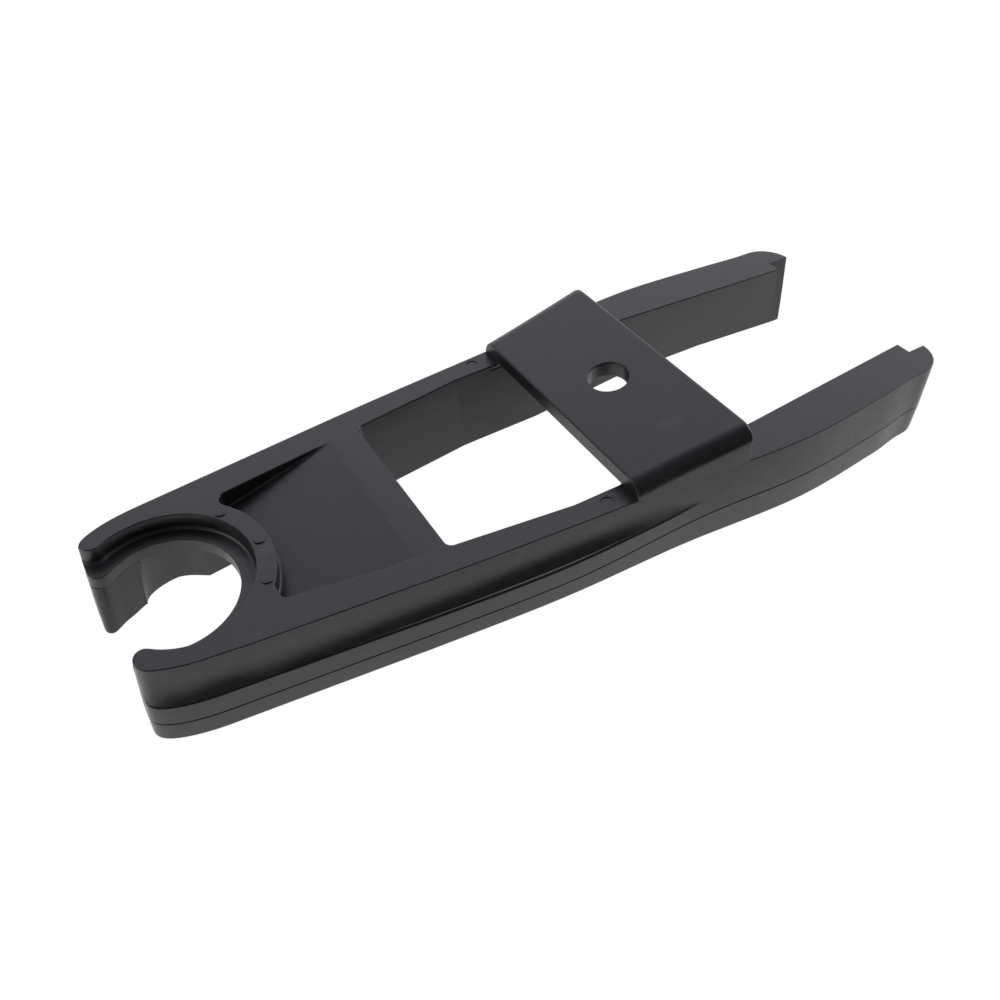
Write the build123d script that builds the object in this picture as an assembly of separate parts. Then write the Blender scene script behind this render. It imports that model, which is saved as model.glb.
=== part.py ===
from build123d import *
import os

os.makedirs("parts", exist_ok=True)

# Chain slider: one rubber moulding that wraps a swingarm and keeps the chain off it.
# All sizes are in mm. X runs from the clip to the prongs, Y across, Z up.
# The shape is drawn from the axis of the clip bore and then moved, so that the origin is
# the middle of the underside. The rails stand on Z = 0.

# Heights
rail_h = 27.5            # rails, lips and prongs, underside to top face
plate_t = 10.0           # thickness of the ring and the web
counterbore_depth = 5.8
ledge_drop = 13.0        # top face down to the foot of the side recess
flange_drop = 1.3        # further fall of the recess ledge to its outer edge
seam_z = 11.0            # mould parting height on the prongs
seam_rail_z = 6.9        # mould parting height on the flanges
wall_draft = 0.8         # the upper side walls widen by this much down to the parting
low_draft = 0.3          # the lower side walls narrow by this much down to the underside

# Clip
bore_r = 21.8            # seat on the pivot tube
counterbore_r = 27.0
ring_r = 33.2            # outside of the ring where the pocket begins
mouth_half = 13.6        # half width of the snap mouth at the bore
mouth_top_half = 23.2    # half width of the mouth at the counterbore
lip_x = -18.2            # end face of the longer lip
short_lip_x = -15.0      # end face of the shorter lip
short_mouth_y = 16.8     # edge of the snap mouth on the shorter lip
seat_step = 0.4          # the lips stand back from the seat below it
lip_wall_x = -3.8        # the lips keep their full height up to here

# Web, pocket and window
window_x = 77.5          # window edge of the web
crease_x = 67.0          # the pocket floor meets the top face here
pocket_slope = 0.168     # fall of the pocket floor per mm towards the ring
pocket_x = ring_r - 15.2
pocket_corner_r = 3.2
window_corner_r = 2.6

# Bridge
roof_x0 = 138.0
roof_x1 = 182.0
roof_rise0 = 5.8         # height of the roof above the rails at its low end
roof_rise1 = 13.2        # the same at its high end
roof_t = 6.0
roof_side_r = 5.4        # rounding along both ends of the roof
roof_edge_r = 1.4
hole_x = 160.5
hole_r = 7.25

# Prongs
tip_x = 275.2            # centre of the rounded tips
tip_y = 40.5
tip_r = 8.3
short_tip_trim = 2.2     # the tip on the side of the shorter lip ends this much earlier
notch_x = 273.0
notch_y = 38.0
beyond = 320.0           # a length past the tips, for the cutters

# Witness marks of the ejector pins
pip_r = 1.8
pip_h = 0.4
pip_ring_r = 30.0
pip_angles = (37.0, 1.0, -31.5)
disc_r = 2.5
disc_x = 129.5
disc_y = 42.8
disc_depth = 0.15


def closed_outline(edges, z):
    """Face at height z from half an outline on the +Y side and its mirror image."""
    other = [mirror(e, about=Plane.XZ) for e in edges]
    first = edges[0] @ 0
    last = edges[-1] @ 1
    ends = [Line(first, (first.X, -first.Y)), Line(last, (last.X, -last.Y))]
    ends = [e for e in ends if e.length > 0.01]
    return Plane.XY.offset(z) * make_face(edges + other + ends)


def top_outline(grow, z):
    """Plan of the rails and the prongs' outer faces, widened by grow."""
    lip = Spline((-17.6 - grow / 2, 26.6), (-14.6, 29.8 + grow), (-9.8, 32.5 + grow), (4.0, 34.9 + grow),
                 tangents=[(0.15, 1.0), (1.0, 0.11)])
    rail = Line((4.0, 34.9 + grow), (66.6, 41.4 + grow))
    side = Spline((66.6, 41.4 + grow), (115.0, 45.7 + grow), (160.0, 49.5 + grow), (209.0, 53.5 + grow),
                  (246.0, 51.1 + grow), (tip_x, tip_y + tip_r + grow / 2),
                  tangents=[(1.0, 0.10), (1.0, -0.08)])
    tip_out = tip_r + grow / 2
    end = ThreePointArc((tip_x, tip_y + tip_out), (tip_x + tip_out, tip_y), (tip_x, tip_y - tip_out))
    nose = Line((lip_x, 16.0), (-17.6 - grow / 2, 26.6))
    return closed_outline([nose, lip, rail, side, end], z)


def low_outline(grow, z):
    """Plan of the flanges and the prongs below the parting, widened by grow."""
    lip = Spline((-17.6, 26.6), (-14.9, 30.0 + grow), (-8.0, 33.9 + grow), (4.0, 36.6 + grow),
                 tangents=[(0.1, 1.0), (1.0, 0.125)])
    rail = Line((4.0, 36.6 + grow), (66.6, 44.1 + grow))
    side = Spline((66.6, 44.1 + grow), (117.0, 48.7 + grow), (165.0, 50.8 + grow), (209.0, 54.3 + grow),
                  (246.0, 51.9 + grow), (tip_x, tip_y + tip_r + 0.4 + grow),
                  tangents=[(1.0, 0.12), (1.0, -0.08)])
    tip_out = tip_r + 0.4 + grow
    end = ThreePointArc((tip_x, tip_y + tip_out), (tip_x + tip_out, tip_y), (tip_x, tip_y - tip_out))
    nose = Line((lip_x, 16.0), (-17.6, 26.6))
    return closed_outline([nose, lip, rail, side, end], z)


# Outer body: a lower half, and an upper half that narrows towards the top
upper = loft([top_outline(wall_draft, seam_z), top_outline(0.0, rail_h)], ruled=True)
lower = loft([low_outline(-low_draft, 0.0), low_outline(0.0, seam_rail_z)], ruled=True)
lower += extrude(low_outline(0.0, seam_rail_z), seam_z - seam_rail_z)

# Flange below the chain recess, with a ledge that falls outwards and rises at the bridge
flange_top = rail_h - ledge_drop
foot_y = 35.6
foot_slope = 0.105
across = flange_drop / 2.4
fall = across * foot_slope
ledge = Plane(origin=(0, foot_y, flange_top), x_dir=(1, 0, fall), z_dir=(-fall, across, 1))
rise = Plane(origin=(124, 48.6, flange_top - 1.3), x_dir=(1, 0, 0.10), z_dir=(-0.10, 0.2, 1))
flange_block = extrude(low_outline(0.0, seam_z), 10.0)
flange_block &= Pos(73, 60, seam_z) * Box(184, 120, 30, align=(Align.CENTER, Align.CENTER, Align.MIN))
flange = split(flange_block, bisect_by=ledge, keep=Keep.BOTTOM)
flange += split(flange_block, bisect_by=rise, keep=Keep.BOTTOM)
body = upper + lower + flange + mirror(flange, about=Plane.XZ)

# Hollow between the rails, wider at the top than at the underside
inner_x = (23.0, 86.0, 120.0, 152.0, 196.0, 235.0, 277.5, beyond)
inner_low = (21.8, 28.9, 32.8, 33.1, 36.9, 35.8, 32.4, 29.0)
inner_top = (25.6, 33.6, 38.0, 38.4, 37.0, 34.4, 31.7, 29.0)


def inner_face(half_widths, z):
    pts = [(x, y) for x, y in zip(inner_x, half_widths)]
    pts += [(x, -y) for x, y in reversed(pts)]
    return Plane.XY.offset(z) * make_face(Polyline(*pts, close=True))


hollow = loft([inner_face(inner_low, 0.0), inner_face(inner_top, rail_h)], ruled=True)
plate_z = rail_h - plate_t
hollow -= Pos(window_x, 0, plate_z) * Box(200, 120, 40, align=(Align.MAX, Align.CENTER, Align.MIN))

# Round relief under the ring, up to the full height lips
relief_join = (16.9, 21.05)
relief_half = [
    ThreePointArc((lip_wall_x, 20.65), (1.2, 24.6), (8.0, 25.79)),
    ThreePointArc((8.0, 25.79), (13.1, 23.6), relief_join),
    Line(relief_join, (24.0, 21.9)),
]
relief = extrude(closed_outline(relief_half, 0.0), plate_z)
body -= hollow
body -= relief
window_edges = body.edges().filter_by(lambda e: abs(e.center().X - window_x) < 1.0 and e.length < 15)
window_corners = window_edges.filter_by(lambda e: abs(e.center().Y) > 25 and abs((e @ 0).Z - (e @ 1).Z) > 5)
body = fillet(window_corners, window_corner_r)

# Bridge: legs on both rails under a roof that climbs towards the prongs
roof_profile = Polyline(
    (roof_x0, rail_h - 3.0),
    (roof_x0, rail_h + roof_rise0),
    (roof_x1, rail_h + roof_rise1),
    (roof_x1, rail_h - 3.0),
    close=True,
)
roof_block = extrude(Plane.XZ * make_face(roof_profile), 60, both=True)
roof_plan = extrude(top_outline(0.0, rail_h - 3.0), 20.0)
bridge = roof_block & roof_plan
tunnel_profile = Polyline(
    (roof_x0 - 5.0, rail_h - 5.0),
    (roof_x0 - 5.0, rail_h + roof_rise0 - roof_t - 0.84),
    (roof_x1 + 5.0, rail_h + roof_rise1 - roof_t + 0.84),
    (roof_x1 + 5.0, rail_h - 5.0),
    close=True,
)
tunnel = extrude(Plane.XZ * make_face(tunnel_profile), 60, both=True)
tunnel_plan = extrude(inner_face(inner_top, rail_h - 6.0), 30.0)
bridge -= tunnel & tunnel_plan
ends = bridge.edges().filter_by(lambda e: e.center().Z > rail_h + 6 and abs(e.center().Y) > 40 and e.length > 30)
bridge = fillet(ends, roof_side_r)
roof_edges = bridge.edges().filter_by(lambda e: e.center().Z > rail_h + 4 and abs(e.center().Y) < 1)
high_edge = roof_edges.filter_by(lambda e: e.center().X > roof_x1 - 1).sort_by(Axis.Z)[-1]
bridge = fillet(high_edge, roof_edge_r)
bridge -= Pos(hole_x, 0, rail_h) * Cylinder(hole_r, 60)
body += bridge

# Clip: counterbore, seat and snap mouth
body -= Cylinder(bore_r, 200)
body -= Cylinder(bore_r + seat_step, plate_z, align=(Align.CENTER, Align.CENTER, Align.MIN))
mouth = Pos(-12.0, 0, 0) * Box(60, 2 * mouth_half, 200, align=(Align.MAX, Align.CENTER, Align.CENTER))
body -= mouth
short_side = Pos(short_lip_x, 0, 0) * Box(60, 80, 200, align=(Align.MAX, Align.MAX, Align.CENTER))
body -= short_side
body -= Pos(-12.0, 0, 0) * Box(60, short_mouth_y, 200, align=(Align.MAX, Align.MAX, Align.CENTER))
counter = Cylinder(counterbore_r, 40, align=(Align.CENTER, Align.CENTER, Align.MIN))
counter += Pos(-13.0, 0, 0) * Box(60, 2 * mouth_top_half, 40, align=(Align.MAX, Align.CENTER, Align.MIN))
body -= Pos(0, 0, rail_h - counterbore_depth) * counter

# Ramped pocket between the ring and the window
pocket_plan = Polyline((pocket_x, 24.8), (crease_x, 31.0), (crease_x, -31.0), (pocket_x, -24.8), close=True)
pocket = extrude(Plane.XY.offset(plate_z) * make_face(pocket_plan), 20.0)
pocket -= Cylinder(ring_r, 200)
corners = pocket.edges().filter_by(Axis.Z).filter_by(lambda e: e.center().X < 30)
pocket = fillet(corners, pocket_corner_r)
floor_profile = Polyline(
    (crease_x, rail_h),
    (crease_x, rail_h + 5.0),
    (10.0, rail_h + 5.0),
    (10.0, rail_h - pocket_slope * (crease_x - 10.0)),
    close=True,
)
pocket &= extrude(Plane.XZ * make_face(floor_profile), 60, both=True)
body -= pocket

# Notched tips in the upper half of the prongs
notch = Pos(notch_x, 0, seam_z) * Box(60, 2 * notch_y, 40, align=(Align.MIN, Align.CENTER, Align.MIN))
body -= notch

# Shorter tip
trim_x = tip_x - short_tip_trim
trim = Pos(trim_x, -tip_y, 0) * Box(60, 40, 200, align=(Align.MIN, Align.CENTER, Align.CENTER))
trim -= Pos(trim_x, -tip_y, 0) * Cylinder(tip_r, 220)
body -= trim

# Ejector witness marks
for angle in pip_angles:
    body += Rot(0, 0, angle) * Pos(pip_ring_r, 0, rail_h - 0.5) * Cylinder(
        pip_r, pip_h + 0.5, align=(Align.CENTER, Align.CENTER, Align.MIN)
    )
for side in (1, -1):
    body -= Pos(disc_x, side * disc_y, rail_h - disc_depth) * Cylinder(
        disc_r, 5.0, align=(Align.CENTER, Align.CENTER, Align.MIN)
    )

# Move the origin to the middle of the underside
tip_end = tip_x + tip_r + 0.4
body = Pos(-(lip_x + tip_end) / 2, 0, 0) * body.solids()[0]
export_step(body, "parts/chain_slider.step")
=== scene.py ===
"""Chain slider: the moulded rubber body in a plain studio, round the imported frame."""

import bmesh
import bpy
import math
import numpy as np
from mathutils import Matrix, Vector


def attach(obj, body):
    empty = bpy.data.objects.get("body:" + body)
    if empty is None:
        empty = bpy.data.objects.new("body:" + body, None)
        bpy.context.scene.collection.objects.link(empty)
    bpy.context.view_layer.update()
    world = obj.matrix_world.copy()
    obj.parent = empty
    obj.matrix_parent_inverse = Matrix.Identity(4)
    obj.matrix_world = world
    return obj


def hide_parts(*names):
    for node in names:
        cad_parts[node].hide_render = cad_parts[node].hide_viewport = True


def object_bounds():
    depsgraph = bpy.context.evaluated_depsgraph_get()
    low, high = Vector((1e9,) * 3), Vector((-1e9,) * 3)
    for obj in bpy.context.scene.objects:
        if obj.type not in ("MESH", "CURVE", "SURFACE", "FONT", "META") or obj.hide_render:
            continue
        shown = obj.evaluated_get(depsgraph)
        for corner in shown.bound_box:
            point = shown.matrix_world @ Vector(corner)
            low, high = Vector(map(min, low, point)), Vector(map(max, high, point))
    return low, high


# Camera: seen from the clip end and from above
AZIMUTH, ELEVATION, ROLL = (math.radians(a) for a in (30.88, 33.53, -0.76))
CAMERA_PLACE = Vector((-0.15909, -0.23857, 0.26770))
LENS_MM, SENSOR_MM = 38.66, 36.0
SHIFT_Y = -0.1964

# Rubber: the base colour drifts between two blacks, under a pale bloom and specks of dust
RUBBER_DARK = (0.0070, 0.0067, 0.0078, 1.0)
RUBBER_LIGHT = (0.0150, 0.0143, 0.0166, 1.0)
BLOOM = (0.046, 0.047, 0.052, 1.0)
DUST = (0.22, 0.21, 0.20, 1.0)
SHEEN_TINT = (0.970, 0.955, 1.0, 1.0)

# Studio
FLOOR_SIZE, FLOOR_GAP = 6.0, 0.0002
FLOOR_FADE_Y = (-0.125, -0.082)      # the floor's reflection fades out towards the viewer
SKY_COLOR = (0.96, 0.935, 1.0, 1.0)
SKY_BRIGHT_SIDE = (0.62, 0.78, 0.0)
SKY_LEVELS = (0.12, 1.05)

# Sizes in mm from the axis of the clip bore, as the CAD model has them.
# X runs from the clip to the prongs, Y across, and the rails stand on Z = 0.
RAIL_H = 27.5            # underside to top face
PLATE_Z = 17.5           # underside of the ring and the web
SEAM_Z = 11.0            # foot of the upper walls, and the parting on the prongs
SEAM_RAIL_Z = 6.9        # parting on the flanges
WALL_DRAFT = 0.8         # the upper walls widen by this much down to their foot
LOW_DRAFT = 0.3          # the lower walls narrow by this much down to the underside
LOW_WIDEN = 0.4          # the lower half stands out by this much at the tips
EDGE = 0.45              # rounding of the moulded edges
TOP_EDGE = 0.3           # the same on the outside of the top face
MIDDLE = 132.85          # from the bore's axis to the frame's origin
BEYOND = 320.0           # past the tips, for the cutters

# Rails: stations, and half widths at the top face and below
RAIL_X = (66.6, 115.0, 160.0, 209.0, 246.0)
RAIL_TOP = (41.4, 45.7, 49.5, 53.5, 51.1)
RAIL_LOW = (44.1, 48.7, 50.6, 54.3, 51.9)
FLARE = 0.105            # the rails widen by this much per mm
ALONG_RAIL, ALONG_TIP = (1.0, FLARE), (1.0, -0.075)

# Outside of the lips, from the end face on: the longer lip, then the shorter one
FRONT_TOP = (
    ((-18.2, 25.8), (-17.1, 28.6), (-14.6, 30.4), (-8.8, 32.7), (4.0, 34.9)),
    ((-15.6, 25.0), (-15.0, 27.2), (-13.7, 28.9), (-10.6, 30.6), (-3.2, 33.0), (5.8, 34.4),
     (16.6, 35.9)),
)
FRONT_LOW = (
    ((-18.2, 26.8), (-17.2, 30.0), (-14.6, 31.9), (-7.8, 34.1), (4.0, 36.6)),
    ((-15.6, 26.6), (-15.0, 29.6), (-13.6, 31.2), (-8.4, 33.9), (-2.0, 35.7), (6.5, 37.0)),
)

# Tips
TIP_X, TIP_Y, TIP_R = 271.0, 37.0, 12.2
TIP_DRAFT = 5.5          # lean of the ends over the full height
SHORT_TIP = 2.2          # the tip behind the shorter lip ends this much earlier
NOTCH_X = 273.0          # the tips are cut square on the inside from here on
NOTCH_HALF = ((32.6, 0.0), (37.8, RAIL_H))
NOTCH_UNDER, NOTCH_OVER = (32.25, -2.0), (38.4, RAIL_H + 3)

# Chain recess: a ledge that falls outwards, and further on climbs to the bridge
LEDGE_Y, LEDGE_Z, LEDGE_FALL = 35.6, 14.5, 0.54
CLIMB_X, CLIMB_Y, CLIMB_Z, CLIMB_RISE, CLIMB_FALL = 124, 48.6, 13.2, 0.10, 0.2
LEDGE_TOP, FOOT_TOP = 16.9, 17.3     # the highest that its edge and its foot climb
LEDGE_MIN = 0.25         # least height from the edge up to the foot
RING_LIFT = 0.15         # keeps the edge's last ring clear of the one below it
NOSE_EDGE_Z, NOSE_FOOT_Z = 14.0, 14.6    # the same on the lips
NOSE_BLEND = (-8, 8)     # X range over which the lips pass into the rails
RECESS_END = (150, 166)  # X range over which the recess runs out
PARTING_CLIMB = (112, 184)   # X range over which the parting climbs to the prongs
# The parting groove, and the cove over the ledge: its least and further height, the
# width of ledge at which it is full, and the power of its curve
GROOVE = ((0.0, -0.30), (-0.06, -0.20), (-0.36, -0.06), (-0.36, 0.06), (-0.06, 0.20), (0.0, 0.30))
COVE_MIN, COVE_HEIGHT, COVE_GAP, COVE_POWER = 0.6, 7.2, 1.2, 2.4
COVE_STEPS = (0.97, 0.92, 0.84, 0.75, 0.65, 0.55, 0.45, 0.35, 0.25, 0.14, 0.0)

# Bridge
ROOF_X0, ROOF_X1, RISE0, RISE1, ROOF_T = 138.0, 182.0, 5.8, 13.2, 6.0
SLOPE = (RISE1 - RISE0) / (ROOF_X1 - ROOF_X0)
ROOF_R, ROOF_LOW_R, ROOF_HIGH_R = 5.4, 0.6, 1.5
LEG_Z = 22.5             # the legs start inside the rails
LEG_INSET = 0.03
HOLE_X, HOLE_R = 160.5, 7.25

# Hollow between the rails: stations, and half widths at the underside and the top face
INNER_X = np.array((23.0, 86.0, 120.0, 152.0, 196.0, 235.0, 277.5, BEYOND))
INNER_LOW = np.array((21.8, 28.9, 32.8, 33.1, 36.9, 35.8, 32.4, 29.0))
INNER_TOP = np.array((25.6, 33.6, 38.0, 38.4, 37.0, 34.4, 31.7, 29.0))
LEG_STOPS = (137.0, 138.4, 181.6, 183.0)     # further stations beside the legs
WINDOW_X, WINDOW_R, HOLLOW_R = 77.5, 2.6, 1.0

# Clip: radii, and the inside of the longer lip from its end face to the circle
BORE_R, COUNTER_R, RING_R = 21.8, 27.0, 33.2
COUNTER_Z, COUNTER_FILLET = 21.7, 1.2
FOOT_R, HIGH_R = 20.3, 22.2
FOOT_NOSE = (
    (-18.22, 17.0), (-17.4, 14.4), (-15.9, 13.75), (-14.4, 14.3),
    (-12.0, 15.9), (-8.2, 17.7),
)
HIGH_NOSE = ((-18.22, 20.2), (-17.1, 17.6), (-15.1, 16.85), (-12.4, 17.8), (-7.9, 20.1))
SEAT_NOSE = ((-18.22, 20.6), (-17.1, 17.6), (-15.2, 16.5), (-12.3, 17.4), (-8.0, 19.8))
RIM_NOSE = (
    (-18.22, 27.4), (-17.3, 25.0), (-15.7, 23.55), (-13.7, 23.2),
    (-10.9, 24.6), (-7.4, 25.9),
)
SHORT_RIM_NOSE = (
    (-15.62, 25.0), (-15.2, 23.0), (-13.9, 21.6), (-12.0, 21.3),
    (-9.3, 23.0), (-5.5, 25.3),
)
SHORTER = (2.6, 0.6)     # from a nose of the longer lip to the same one of the shorter lip
CUTTER_X = -34.0         # in front of the lips
RELIEF_LIP = ((-3.8, 20.65), (1.2, 24.6), (8.0, 25.8))
RELIEF_RING = ((8.0, 25.8), (13.1, 23.6), (16.9, 21.05))
RELIEF_END = (24.0, 21.9)

# Pocket
CREASE_X, POCKET_SLOPE = 67.0, 0.168
FAR_SIDE = (np.array((10.0, 23.94)), np.array((72.0, 31.4)))
NEAR_SIDE = (np.array((27.4, -24.97)), np.array((72.0, -32.44)))
FAR_R, NEAR_R, LAND_X, FLOOR_R = 3.2, 2.2, 27.4, 0.8

# Ejector marks
PIPS = ((23.6, 17.9), (29.9, 0.4), (26.2, -15.9))
PIP_R, PIP_SIDE, PIP_TOP = 1.8, 27.78, 27.9
DISC_X, DISC_Y, DISC_R, DISC_Z = 129.5, 42.8, 2.5, 27.2

# Shares of a radius, sideways and upwards: a rounded edge, and a cutter that leaves one
QUARTER = ((0.0, -1.0), (-0.134, -0.5), (-0.5, -0.134), (-1.0, 0.0))
ROUND = ((0.0, -1.0), (0.134, -0.5), (0.5, -0.134), (1.2, 0.053))

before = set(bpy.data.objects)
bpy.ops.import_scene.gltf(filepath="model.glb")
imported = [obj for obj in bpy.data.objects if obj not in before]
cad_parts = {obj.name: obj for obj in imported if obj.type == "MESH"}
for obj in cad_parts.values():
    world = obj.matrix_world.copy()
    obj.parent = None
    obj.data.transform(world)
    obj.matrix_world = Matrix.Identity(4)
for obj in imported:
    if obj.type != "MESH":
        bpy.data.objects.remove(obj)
cad_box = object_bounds()
scene = bpy.context.scene


# ---- Materials ----


class Nodes:
    """Short helpers round one material's node tree."""

    def __init__(self, name):
        self.material = bpy.data.materials.new(name)
        self.material.use_nodes = True
        self.tree = self.material.node_tree
        self.tree.nodes.clear()

    def add(self, kind, **values):
        node = self.tree.nodes.new(kind)
        for key, value in values.items():
            setattr(node, key, value)
        return node

    def link(self, a, b):
        self.tree.links.new(a, b)

    def noise(self, vector, scale, detail=4.0, rough=0.5):
        node = self.add("ShaderNodeTexNoise")
        node.inputs["Scale"].default_value = scale
        node.inputs["Detail"].default_value = detail
        node.inputs["Roughness"].default_value = rough
        self.link(vector, node.inputs["Vector"])
        return node.outputs["Fac"]

    def ramp(self, value, start, end):
        """Colour between two stops of (position, colour)."""
        node = self.add("ShaderNodeValToRGB")
        for element, stop in zip(node.color_ramp.elements, (start, end)):
            element.position, element.color = stop
        self.link(value, node.inputs["Fac"])
        return node.outputs["Color"]

    def blend(self, share, under, color):
        """A plain colour over another one, as far as share says."""
        node = self.add("ShaderNodeMix", data_type="RGBA")
        self.link(share, node.inputs["Factor"])
        self.link(under, node.inputs["A"])
        node.inputs["B"].default_value = color
        return node.outputs["Result"]

    def fit(self, value, a, b, c, d):
        """Map the range from a to b on the range from c to d."""
        node = self.add("ShaderNodeMapRange")
        for name, number in zip(("From Min", "From Max", "To Min", "To Max"), (a, b, c, d)):
            node.inputs[name].default_value = number
        self.link(value, node.inputs["Value"])
        return node.outputs["Result"]

    def math(self, operation, a, b):
        node = self.add("ShaderNodeMath", operation=operation)
        for socket, value in zip(node.inputs, (a, b)):
            if isinstance(value, float):
                socket.default_value = value
            else:
                self.link(value, socket)
        return node.outputs[0]


def rubber():
    n = Nodes("black rubber")
    out = n.add("ShaderNodeOutputMaterial")
    shader = n.add("ShaderNodeBsdfPrincipled")
    n.link(shader.outputs[0], out.inputs[0])
    place = n.add("ShaderNodeTexCoord").outputs["Object"]
    cloud = n.noise(place, 28.0, 5.0, 0.6)
    fine = n.noise(place, 420.0, 4.0, 0.6)
    grain = n.noise(place, 2600.0, 2.0, 0.5)
    speck = n.noise(place, 700.0, 0.0)
    base = n.ramp(cloud, (0.28, RUBBER_DARK), (0.74, RUBBER_LIGHT))
    bloom = n.fit(n.noise(place, 55.0, 6.0, 0.68), 0.60, 0.80, 0.0, 0.80)
    pale = n.blend(bloom, base, BLOOM)
    dust = n.fit(speck, 0.84, 0.87, 0.0, 0.12)
    n.link(n.blend(dust, pale, DUST), shader.inputs["Base Color"])
    rough = n.math("ADD", n.fit(cloud, 0.3, 0.7, 0.31, 0.40), n.fit(fine, 0.3, 0.7, -0.04, 0.04))
    n.link(rough, shader.inputs["Roughness"])
    shader.inputs["Specular IOR Level"].default_value = 0.64
    shader.inputs["Specular Tint"].default_value = SHEEN_TINT
    bump = n.add("ShaderNodeBump")
    bump.inputs["Strength"].default_value = 0.35
    bump.inputs["Distance"].default_value = 0.00015
    height = n.math("ADD", n.math("MULTIPLY", fine, 0.7), n.math("MULTIPLY", grain, 0.3))
    n.link(height, bump.inputs["Height"])
    n.link(bump.outputs["Normal"], shader.inputs["Normal"])
    return n.material


def paper():
    """White for the camera. Its reflection is white too, but fades towards the viewer."""
    n = Nodes("pale floor")
    out = n.add("ShaderNodeOutputMaterial")
    shader = n.add("ShaderNodeBsdfDiffuse")
    shader.inputs["Color"].default_value = (0.93, 0.93, 0.93, 1.0)
    glow = n.add("ShaderNodeEmission")
    glow.inputs["Color"].default_value = (1.0, 1.0, 1.0, 1.0)
    place = n.add("ShaderNodeSeparateXYZ")
    n.link(n.add("ShaderNodeNewGeometry").outputs["Position"], place.inputs[0])
    path = n.add("ShaderNodeLightPath")
    near = n.fit(place.outputs["Y"], *FLOOR_FADE_Y, 0.04, 1.0)
    seen = path.outputs["Is Camera Ray"]
    n.link(n.math("MAXIMUM", near, seen), glow.inputs["Strength"])
    mix = n.add("ShaderNodeMixShader")
    n.link(n.math("MAXIMUM", seen, path.outputs["Is Glossy Ray"]), mix.inputs[0])
    n.link(shader.outputs[0], mix.inputs[1])
    n.link(glow.outputs[0], mix.inputs[2])
    n.link(mix.outputs[0], out.inputs[0])
    return n.material


# ---- Curves ----


def cosd(angle):
    return math.cos(math.radians(angle))


def sind(angle):
    return math.sin(math.radians(angle))


def spline(points, start, end, count):
    """Smooth curve through the points with the given end directions."""
    p = np.array(points, float)
    h = np.linalg.norm(np.diff(p, axis=0), axis=1)
    n = len(p)
    a, b = np.zeros((n, n)), np.zeros((n, 2))
    a[0, 0] = a[-1, -1] = 1.0
    b[0] = np.array(start) / np.hypot(*start)
    b[-1] = np.array(end) / np.hypot(*end)
    for i in range(1, n - 1):
        a[i, i - 1], a[i, i + 1] = 1 / h[i - 1], 1 / h[i]
        a[i, i] = 2 / h[i - 1] + 2 / h[i]
        b[i] = 3 * ((p[i] - p[i - 1]) / h[i - 1] ** 2 + (p[i + 1] - p[i]) / h[i] ** 2)
    m = np.linalg.solve(a, b)
    at = np.concatenate(([0.0], np.cumsum(h)))
    out = []
    for t in np.linspace(0.0, at[-1], count + 1):
        i = min(int(np.searchsorted(at, t, "right")) - 1, n - 2)
        u = (t - at[i]) / h[i]
        out.append(
            (2 * u**3 - 3 * u**2 + 1) * p[i] + (u**3 - 2 * u**2 + u) * h[i] * m[i]
            + (3 * u**2 - 2 * u**3) * p[i + 1] + (u**3 - u**2) * h[i] * m[i + 1]
        )
    return np.array(out)


def line(a, b, count):
    a, b = np.array(a), np.array(b)
    return np.array([a + (b - a) * i / count for i in range(count + 1)])


def arc(centre, radius, start, end, count):
    turn = np.radians(np.linspace(start, end, count + 1))
    return np.array(centre) + radius * np.stack([np.cos(turn), np.sin(turn)], axis=1)


def circle(centre, radius, count):
    return arc(centre, radius, 0, 360, count)[:-1]


def on_circle(radius, turn):
    return (radius * cosd(turn), radius * sind(turn))


def chain(*parts):
    """Join curves end to end without repeating the shared points."""
    out = [parts[0]]
    for part in parts[1:]:
        out.append(part[1:] if np.linalg.norm(part[0] - out[-1][-1]) < 1e-6 else part)
    return np.concatenate(out)


def mirrored(half):
    """Closed plan from its +Y half."""
    return np.concatenate([half, half[::-1] * (1, -1)])


def smooth(x, a, b):
    t = np.clip((x - a) / (b - a), 0, 1)
    return t * t * (3 - 2 * t)


def outward(points):
    """Unit normals of a closed plan, pointing out whichever way it runs."""
    ahead, behind = np.roll(points, -1, axis=0), np.roll(points, 1, axis=0)
    a = points - behind
    b = ahead - points
    a /= np.maximum(np.linalg.norm(a, axis=1), 1e-9)[:, None]
    b /= np.maximum(np.linalg.norm(b, axis=1), 1e-9)[:, None]
    t = a + b
    t /= np.maximum(np.linalg.norm(t, axis=1), 1e-9)[:, None]
    n = np.stack([t[:, 1], -t[:, 0]], axis=1)
    area = np.sum(points[:, 0] * ahead[:, 1] - ahead[:, 0] * points[:, 1])
    return n if area > 0 else -n


def swell(points, by):
    """Move a closed plan outwards, by one distance or by one for each point."""
    by = np.broadcast_to(np.asarray(by, float), (len(points),))
    return points + outward(points) * by[:, None]


# ---- Meshes ----


def closed_mesh(name, loops):
    """Object with one skin over loops of equal length, closed at both ends."""
    bm = bmesh.new()
    rows = [[bm.verts.new(point) for point in loop] for loop in loops]
    count = len(rows[0])
    for low, high in zip(rows, rows[1:]):
        for i in range(count):
            j = (i + 1) % count
            bm.faces.new((low[i], low[j], high[j], high[i]))
    bm.faces.new(rows[0][::-1])
    bm.faces.new(rows[-1])
    bmesh.ops.recalc_face_normals(bm, faces=bm.faces)
    mesh = bpy.data.meshes.new(name)
    bm.to_mesh(mesh)
    bm.free()
    piece = bpy.data.objects.new(name, mesh)
    scene.collection.objects.link(piece)
    return piece


def solid(name, rings):
    """Closed mesh through rings of (plan, height). A height may differ from point to point."""
    heights = [np.broadcast_to(np.asarray(z, float), (len(plan),)) for plan, z in rings]
    return closed_mesh(name, [
        [(x, y, h) for (x, y), h in zip(plan, height)]
        for (plan, _), height in zip(rings, heights)
    ])


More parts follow.
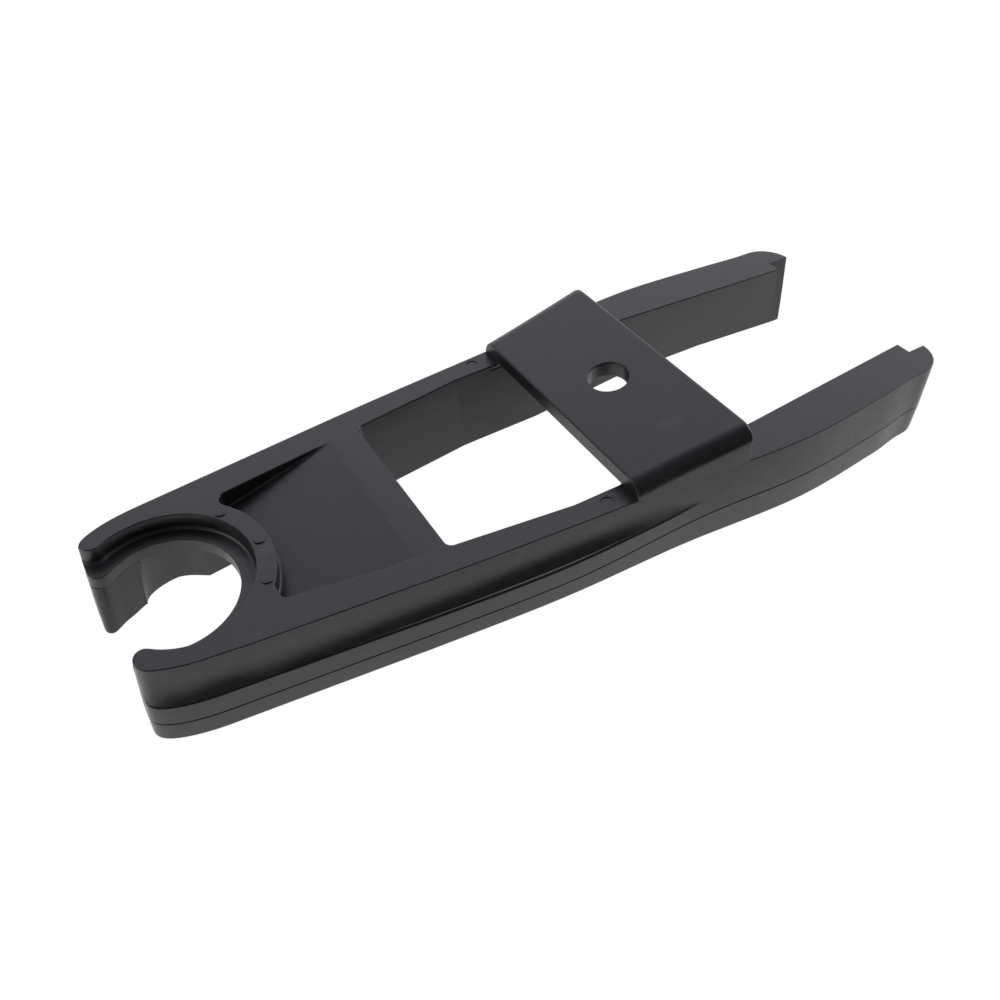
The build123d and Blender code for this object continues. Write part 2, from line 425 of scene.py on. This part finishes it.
def combine(body, tool, operation):
    """Apply one Boolean step and remove the tool."""
    step = body.modifiers.new("step", "BOOLEAN")
    step.operation = operation
    step.object = tool
    step.solver = "MANIFOLD"
    bpy.context.view_layer.update()
    seen = body.evaluated_get(bpy.context.evaluated_depsgraph_get())
    done = bpy.data.meshes.new_from_object(seen)
    body.modifiers.clear()
    body.data = done
    bpy.data.objects.remove(tool)


def cut(body, name, rings):
    combine(body, solid(name, rings), "DIFFERENCE")


def mouth(plan, z, r=EDGE):
    """Rings of a cutter that leave a rounded rim where it comes out at height z."""
    return [(swell(plan, s * r), z + h * r) for s, h in ROUND] + [(swell(plan, 1.2 * r), z + 3)]


def rim_below(plan, z, r=EDGE):
    """The same where it comes out underneath."""
    rings = [(swell(plan, s * r), z - h * r) for s, h in ROUND[::-1]]
    return [(swell(plan, 1.2 * r), z - 3)] + rings


# ---- Outer body ----


def half_outline(front, shift, tip_z, widths, grow, widen):
    """One side of the plan from the lip to the tip."""
    tip_cx = TIP_X - shift - TIP_DRAFT * (1 - tip_z / RAIL_H)
    out = TIP_R + widen + grow / 2
    front = [front[0]] + [(x, y + grow) for x, y in front[1:]]
    sides = [(x, y + grow) for x, y in zip(RAIL_X, widths)]
    top = (tip_cx, TIP_Y + out)
    return chain(
        line((front[0][0], 0.0), front[0], 3),
        spline(front, (0.0, 1.0), ALONG_RAIL, 26),
        line(front[-1], sides[0], 12),
        spline(sides, ALONG_RAIL, ALONG_TIP, 50),
        spline([sides[-1], top], ALONG_TIP, (1.0, 0.0), 8),
        arc((tip_cx, TIP_Y), out, 90, 0, 14),
        line((tip_cx + out, TIP_Y), (tip_cx + out, 0.0), 3),
    )


def outline(z, fronts, widths, grow=0.0, widen=0.0):
    """Plan of the body, with the longer lip and tip on the +Y side."""
    far = half_outline(fronts[0], 0.0, z, widths, grow, widen)
    near = half_outline(fronts[1], SHORT_TIP, z, widths, grow, widen)
    return np.concatenate([far, near[::-1] * (1, -1)])


TOP_PLAN = outline(RAIL_H, FRONT_TOP, RAIL_TOP)
TOP_FOOT = outline(SEAM_Z, FRONT_TOP, RAIL_TOP, WALL_DRAFT)
LOW_FOOT = outline(0.0, FRONT_LOW, RAIL_LOW, -LOW_DRAFT, LOW_WIDEN)
LOW_SEAM = outline(SEAM_RAIL_Z, FRONT_LOW, RAIL_LOW, 0.0, LOW_WIDEN)
LOW_HIGH = outline(SEAM_Z, FRONT_LOW, RAIL_LOW, 0.0, LOW_WIDEN)
ALONG = LOW_HIGH[:, 0]


def upper_at(z):
    """The upper wall's plan with each point at its own height."""
    share = ((RAIL_H - z) / (RAIL_H - SEAM_Z))[:, None]
    return TOP_PLAN + (TOP_FOOT - TOP_PLAN) * share


def lower_at(z):
    """The same for the flange's wall."""
    low = np.clip(z / SEAM_RAIL_Z, 0, 1)[:, None]
    high = np.clip((z - SEAM_RAIL_Z) / (SEAM_Z - SEAM_RAIL_Z), 0, 1)[:, None]
    return LOW_FOOT + (LOW_SEAM - LOW_FOOT) * low + (LOW_HIGH - LOW_SEAM) * high


def skin(z, recessed):
    """The flange's wall, run into the upper wall where the recess has ended."""
    mixed = lower_at(z) * recessed[:, None] + upper_at(z) * (1 - recessed)[:, None]
    return np.where((z < SEAM_Z)[:, None], lower_at(z), mixed)


def ledge_heights():
    """Heights of the ledge's outer edge and of its foot on the wall, for each point."""

    def ledge(y):
        fall = LEDGE_Z - LEDGE_FALL * (y - LEDGE_Y - FLARE * ALONG)
        climb = CLIMB_Z + CLIMB_RISE * (ALONG - CLIMB_X) - CLIMB_FALL * (y - CLIMB_Y)
        return np.maximum(fall, climb)

    rail = smooth(ALONG, *NOSE_BLEND)
    edge = np.minimum(ledge(np.abs(LOW_HIGH[:, 1])), LEDGE_TOP)
    foot = np.minimum(ledge(np.abs(TOP_FOOT[:, 1])), FOOT_TOP)
    edge = (1 - rail) * NOSE_EDGE_Z + rail * edge
    foot = (1 - rail) * NOSE_FOOT_Z + rail * foot
    return edge, np.maximum(foot, edge + LEDGE_MIN)


def outer_body():
    """One skin from the underside up to the top face."""
    ground = np.zeros(len(ALONG))
    recessed = 1 - smooth(ALONG, *RECESS_END)
    edge_z, foot_z = ledge_heights()
    parting = SEAM_RAIL_Z + (SEAM_Z - SEAM_RAIL_Z) * smooth(ALONG, *PARTING_CLIMB)
    rings = []
    for s, h in QUARTER[::-1]:
        z = ground - h * EDGE
        rings.append((swell(lower_at(z), s * EDGE), z))
    for s, h in GROOVE:
        rings.append((swell(lower_at(parting + h), s), parting + h))
    for s, h in QUARTER:
        z = edge_z + h * EDGE
        rings.append((swell(skin(z, recessed), s * EDGE * recessed), z + RING_LIFT * (s == -1.0)))
    # The wall of the recess curves outwards in a cove down to the ledge
    reach = skin(edge_z, recessed)
    gap = np.maximum(np.sum((reach - upper_at(foot_z)) * outward(reach), axis=1), 0.0)
    height = COVE_MIN + COVE_HEIGHT * np.minimum(gap / COVE_GAP, 1.0)
    for t in COVE_STEPS:
        z = foot_z + height * (1 - t)
        rings.append((swell(upper_at(z), gap * t ** COVE_POWER), z))
    for s, h in QUARTER:
        z = ground + RAIL_H + h * TOP_EDGE
        rings.append((swell(upper_at(z), s * TOP_EDGE), z))
    return solid("slider_body", rings)


# ---- Bridge and hollow ----


def roof_z(x):
    return RAIL_H + RISE0 + SLOPE * (x - ROOF_X0)


def bridge():
    """Roof over the rails, as cross-sections from its low end to its high end."""
    stations = [
        (ROOF_X0 + ROOF_LOW_R * (1 - cosd(a)), ROOF_LOW_R * (1 - sind(a))) for a in (0, 30, 60, 90)
    ]
    stations += [(x, 0.0) for x in np.linspace(ROOF_X0 + 3, ROOF_X1 - 4, 12)]
    stations += [
        (ROOF_X1 - ROOF_HIGH_R + ROOF_HIGH_R * sind(a), ROOF_HIGH_R * (1 - cosd(a)))
        for a in (0, 18, 36, 54, 72, 90)
    ]
    side = spline(list(zip(RAIL_X, RAIL_TOP)), ALONG_RAIL, ALONG_TIP, 200)
    loops = []
    for x, drop in stations:
        half = np.interp(x, side[:, 0], side[:, 1]) - LEG_INSET - drop * 0.9
        bend = arc((half - ROOF_R, roof_z(x) - drop - ROOF_R), ROOF_R, 0, 90, 9)
        leg = np.concatenate([[(half, LEG_Z)], bend])
        loops.append([(x, y, z) for y, z in np.concatenate([leg, leg[::-1] * (-1, 1)])])
    return closed_mesh("bridge", loops)


def channel(x0, z, corner):
    """Plan of the hollow at height z, from rounded corners at x0 to past the tips."""
    stops = np.sort(np.concatenate([INNER_X, LEG_STOPS]))
    xs = np.concatenate([[x0 + corner], stops[stops > x0 + corner + 1]])
    low, high = np.interp(xs, INNER_X, INNER_LOW), np.interp(xs, INNER_X, INNER_TOP)
    side = np.stack([xs, low + (high - low) * z / RAIL_H], axis=1)
    turn = arc((x0 + corner, side[0, 1] - corner), corner, 180, 90, 6)
    return mirrored(np.concatenate([turn[:-1], side]))


def cut_hollow(body):
    """The space for the swingarm under the web, and the window behind it."""
    cut(body, "hollow", [(channel(INNER_X[0], z, HOLLOW_R), z) for z in (-3.0, PLATE_Z)])
    rings = [(channel(WINDOW_X, z, WINDOW_R), z) for z in (PLATE_Z - 2, RAIL_H - EDGE)]
    for s, h in ROUND[1:]:
        z = RAIL_H + h * EDGE
        plan = channel(WINDOW_X, z, WINDOW_R)
        # No rounded rim under the roof
        free = (plan[:, 0] < ROOF_X0 - 0.5) | (plan[:, 0] > ROOF_X1 + 0.5)
        rings.append((swell(plan, s * EDGE * free), z))
    cut(body, "window", rings + [(rings[-1][0], RAIL_H + 0.6)])


def cut_tunnel(body):
    """The space under the roof, just inside the window's walls."""
    xs = np.array((ROOF_X0 - 6, 152.0, ROOF_X1 + 6))
    plan = mirrored(np.stack([xs, np.interp(xs, INNER_X, INNER_TOP) - 0.01], axis=1))
    rings = [(plan, RAIL_H - 2)]
    for s, h in ((0.0, 1.2), (0.35, 0.35), (1.2, 0.0)):
        shape = swell(plan, -s)
        rings.append((shape, roof_z(shape[:, 0]) - ROOF_T - h))
    cut(body, "tunnel", rings)


def cut_hole(body):
    plan = circle((HOLE_X, 0.0), HOLE_R, 64)
    top = roof_z(plan[:, 0])
    cut(body, "hole", rim_below(plan, top - ROOF_T, 0.3) + mouth(plan, top, 0.4))


# ---- Clip ----


def clip_opening(radius, far_nose, far_turn, near_nose, near_turn):
    """Plan of the clip's opening: a circle that runs out between the two rounded lips."""

    def nose(points, turn):
        x, y = on_circle(radius, turn)
        return spline([*points, (x, y)], (0.0, -1.0), (y, -x), 26)

    far_y, (near_x, near_y) = far_nose[0][1], near_nose[0]
    return chain(
        line((CUTTER_X, far_y), far_nose[0], 1),
        nose(far_nose, far_turn),
        arc((0, 0), radius, far_turn, -near_turn, 80),
        nose(near_nose, near_turn)[::-1] * (1, -1),
        line((near_x, -near_y), (CUTTER_X, -near_y), 1),
    )


def shorter(nose):
    return [(x + SHORTER[0], y + SHORTER[1]) for x, y in nose]


def cut_clip(body):
    """Relief under the ring, lower bore, seat and counterbore."""
    relief = mirrored(chain(
        spline(RELIEF_LIP, (0.35, 1.0), (1.0, 0.0), 12),
        spline(RELIEF_RING, (1.0, -0.2), (0.8, -0.5), 8),
        line(RELIEF_RING[-1], RELIEF_END, 1),
    ))
    cut(body, "relief", [(relief, -3.0), (relief, PLATE_Z)])
    # Below the seat the lips lean in towards the underside, under a fine groove
    foot = clip_opening(FOOT_R, FOOT_NOSE, 98, shorter(FOOT_NOSE), 92)
    high = clip_opening(HIGH_R, HIGH_NOSE, 96, shorter(HIGH_NOSE), 90)
    cut(body, "lower bore", rim_below(foot, 0.0) + [
        (foot + (high - foot) * 0.5, PLATE_Z * 0.5),
        (high, PLATE_Z - 0.45),
        (swell(high, 0.35), PLATE_Z - 0.25),
        (swell(high, 0.4), PLATE_Z),
    ])
    seat = clip_opening(BORE_R, SEAT_NOSE, 96, shorter(SEAT_NOSE), 90)
    cut(body, "seat", [
        (seat, PLATE_Z - 0.6),
        (seat, COUNTER_Z - 0.35),
        (swell(seat, 0.12), COUNTER_Z - 0.1),
        (swell(seat, 0.5), COUNTER_Z + 0.1),
        (swell(seat, 0.6), COUNTER_Z + 2),
    ])
    rim = clip_opening(COUNTER_R, RIM_NOSE, 95, SHORT_RIM_NOSE, 88)
    rings = [
        (swell(rim, -COUNTER_FILLET * (1 - sind(a))), COUNTER_Z + COUNTER_FILLET * (1 - cosd(a)))
        for a in (0, 22, 45, 68, 90)
    ]
    cut(body, "counterbore", rings + mouth(rim, RAIL_H, 0.35))


# ---- Pocket, notches and marks ----


def cross(p, q, radius):
    """Where the line from p through q meets the circle round the bore's axis."""
    d = (q - p) / np.linalg.norm(q - p)
    b, c = p @ d, p @ p - radius**2
    return p + d * (-b + math.sqrt(b * b - c))


def turn_of(p, centre=(0.0, 0.0)):
    return math.degrees(math.atan2(p[1] - centre[1], p[0] - centre[0]))


def pocket_plan():
    """Both straight sides, with the ring's circle between two rounded corners."""
    far_a, far_b = FAR_SIDE
    d = (far_b - far_a) / np.linalg.norm(far_b - far_a)
    inward = np.array((d[1], -d[0])) * FAR_R
    centre = cross(far_a + inward, far_b + inward, RING_R + FAR_R)
    on_line = centre - inward
    on_ring = centre * RING_R / (RING_R + FAR_R)
    near_a, near_b = NEAR_SIDE
    e = (near_b - near_a) / np.linalg.norm(near_b - near_a)
    near_x = LAND_X + NEAR_R
    near_y = near_a[1] + (near_x - near_a[0]) * e[1] / e[0] + NEAR_R / e[0]
    land = (LAND_X, -math.sqrt(RING_R**2 - LAND_X**2))
    return chain(
        line(far_b, on_line, 8),
        arc(centre, FAR_R, turn_of(on_line, centre), turn_of(on_ring, centre) + 360, 10),
        arc((0, 0), RING_R, turn_of(centre), turn_of(land), 36),
        line(land, (LAND_X, near_y), 2),
        arc((near_x, near_y), NEAR_R, 180, 270 + turn_of(e), 8),
        line((near_x + e[1] * NEAR_R, near_y - e[0] * NEAR_R), near_b, 8),
    )


def cut_pocket(body):
    """Its floor climbs to the top face, with a small fillet all round."""
    plan = pocket_plan()
    rings = []
    for a in (0, 30, 60, 90):
        shape = swell(plan, -FLOOR_R * (1 - sind(a)))
        floor_z = RAIL_H - POCKET_SLOPE * (CREASE_X - shape[:, 0])
        rings.append((shape, floor_z + FLOOR_R * (1 - cosd(a))))
    for s, h in ROUND:
        rings.append((swell(plan, s * EDGE), np.maximum(RAIL_H + h * EDGE, rings[-1][1] + 0.01)))
    cut(body, "pocket", rings + [(swell(plan, 1.2 * EDGE), RAIL_H + 6)])


def cut_notches(body):
    """Both tips are cut square on the inside, from NOTCH_X on."""
    right = [NOTCH_UNDER, *NOTCH_HALF, NOTCH_OVER]
    section = [(-y, z) for y, z in right[1::-1]] + right + [(-y, z) for y, z in right[:1:-1]]
    tool = closed_mesh("notch", [[(x, y, z) for y, z in section] for x in (NOTCH_X, BEYOND)])
    combine(body, tool, "DIFFERENCE")


def mark_ejectors(body):
    """Raised pips on the ring, and shallow discs beside the bridge."""
    for place in PIPS:
        pip = circle(place, PIP_R, 28)
        rings = [(pip, RAIL_H - 1), (pip, PIP_SIDE), (swell(pip, -0.12), PIP_TOP)]
        combine(body, solid("pip", rings), "UNION")
    for y in (DISC_Y, -DISC_Y):
        disc = circle((DISC_X, y), DISC_R, 28)
        cut(body, "disc", [(swell(disc, -0.1), DISC_Z), (disc, DISC_Z + 0.1), (disc, RAIL_H + 1.5)])


# ---- The piece ----


def slider():
    """The whole body in the frame, in metres."""
    body = outer_body()
    combine(body, bridge(), "UNION")
    cut_hollow(body)
    cut_tunnel(body)
    cut_hole(body)
    cut_clip(body)
    cut_pocket(body)
    cut_notches(body)
    mark_ejectors(body)
    body.data.transform(Matrix.Scale(0.001, 4) @ Matrix.Translation((-MIDDLE, 0.0, 0.0)))
    body.data.materials.clear()
    body.data.materials.append(rubber())
    body.data.set_sharp_from_angle(angle=math.radians(38))
    for polygon in body.data.polygons:
        polygon.use_smooth = True
        polygon.material_index = 0
    body.modifiers.new("normals", "WEIGHTED_NORMAL").keep_sharp = True
    return body


# ---- Studio ----


def add_camera():
    look = Vector((
        math.sin(AZIMUTH) * math.cos(ELEVATION),
        math.cos(AZIMUTH) * math.cos(ELEVATION),
        -math.sin(ELEVATION),
    ))
    side = look.cross(Vector((0, 0, 1))).normalized()
    up = side.cross(look)
    right = math.cos(ROLL) * side + math.sin(ROLL) * up
    top = -math.sin(ROLL) * side + math.cos(ROLL) * up
    turn = Matrix((right, top, -look)).transposed().to_4x4()
    data = bpy.data.cameras.new("camera")
    data.lens = LENS_MM
    data.sensor_width = SENSOR_MM
    data.shift_y = SHIFT_Y
    data.clip_start = 0.01
    camera = bpy.data.objects.new("camera", data)
    camera.matrix_world = Matrix.Translation(CAMERA_PLACE) @ turn
    scene.collection.objects.link(camera)
    scene.camera = camera


def add_floor():
    place = (0, 0, cad_box[0][2] - FLOOR_GAP)
    bpy.ops.mesh.primitive_plane_add(size=FLOOR_SIZE, location=place)
    floor = bpy.context.object
    floor.name = "floor"
    floor.data.materials.append(paper())


def add_world():
    """White behind the object, darker overhead and on the near side."""
    world = bpy.data.worlds.new("studio")
    scene.world = world
    world.use_nodes = True
    tree = world.node_tree
    sky = tree.nodes["Background"]
    sky.inputs["Color"].default_value = SKY_COLOR
    facing = tree.nodes.new("ShaderNodeVectorMath")
    facing.operation = "DOT_PRODUCT"
    facing.inputs[1].default_value = SKY_BRIGHT_SIDE
    tree.links.new(tree.nodes.new("ShaderNodeTexCoord").outputs["Generated"], facing.inputs[0])
    level = tree.nodes.new("ShaderNodeMapRange")
    level.interpolation_type = "SMOOTHSTEP"
    level.inputs["From Min"].default_value = 0.0
    level.inputs["From Max"].default_value = 0.62
    level.inputs["To Min"].default_value, level.inputs["To Max"].default_value = SKY_LEVELS
    tree.links.new(facing.outputs["Value"], level.inputs["Value"])
    tree.links.new(level.outputs["Result"], sky.inputs["Strength"])


def softbox(name, place, size, watts):
    """Square lamp that faces the object."""
    data = bpy.data.lights.new(name, "AREA")
    data.shape = "RECTANGLE"
    data.size = data.size_y = size
    data.energy = watts
    lamp = bpy.data.objects.new(name, data)
    turn = (-Vector(place)).to_track_quat("-Z", "Y").to_matrix().to_4x4()
    lamp.matrix_world = Matrix.Translation(Vector(place)) @ turn
    scene.collection.objects.link(lamp)


add_camera()
body = slider()
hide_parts("chain_slider")
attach(body, "root")
add_floor()
add_world()
softbox("key", (-1.3, 0.5, 0.9), 0.9, 5.0)
softbox("fill", (1.3, -0.1, 0.5), 0.7, 5.0)

scene.view_settings.view_transform = "Standard"
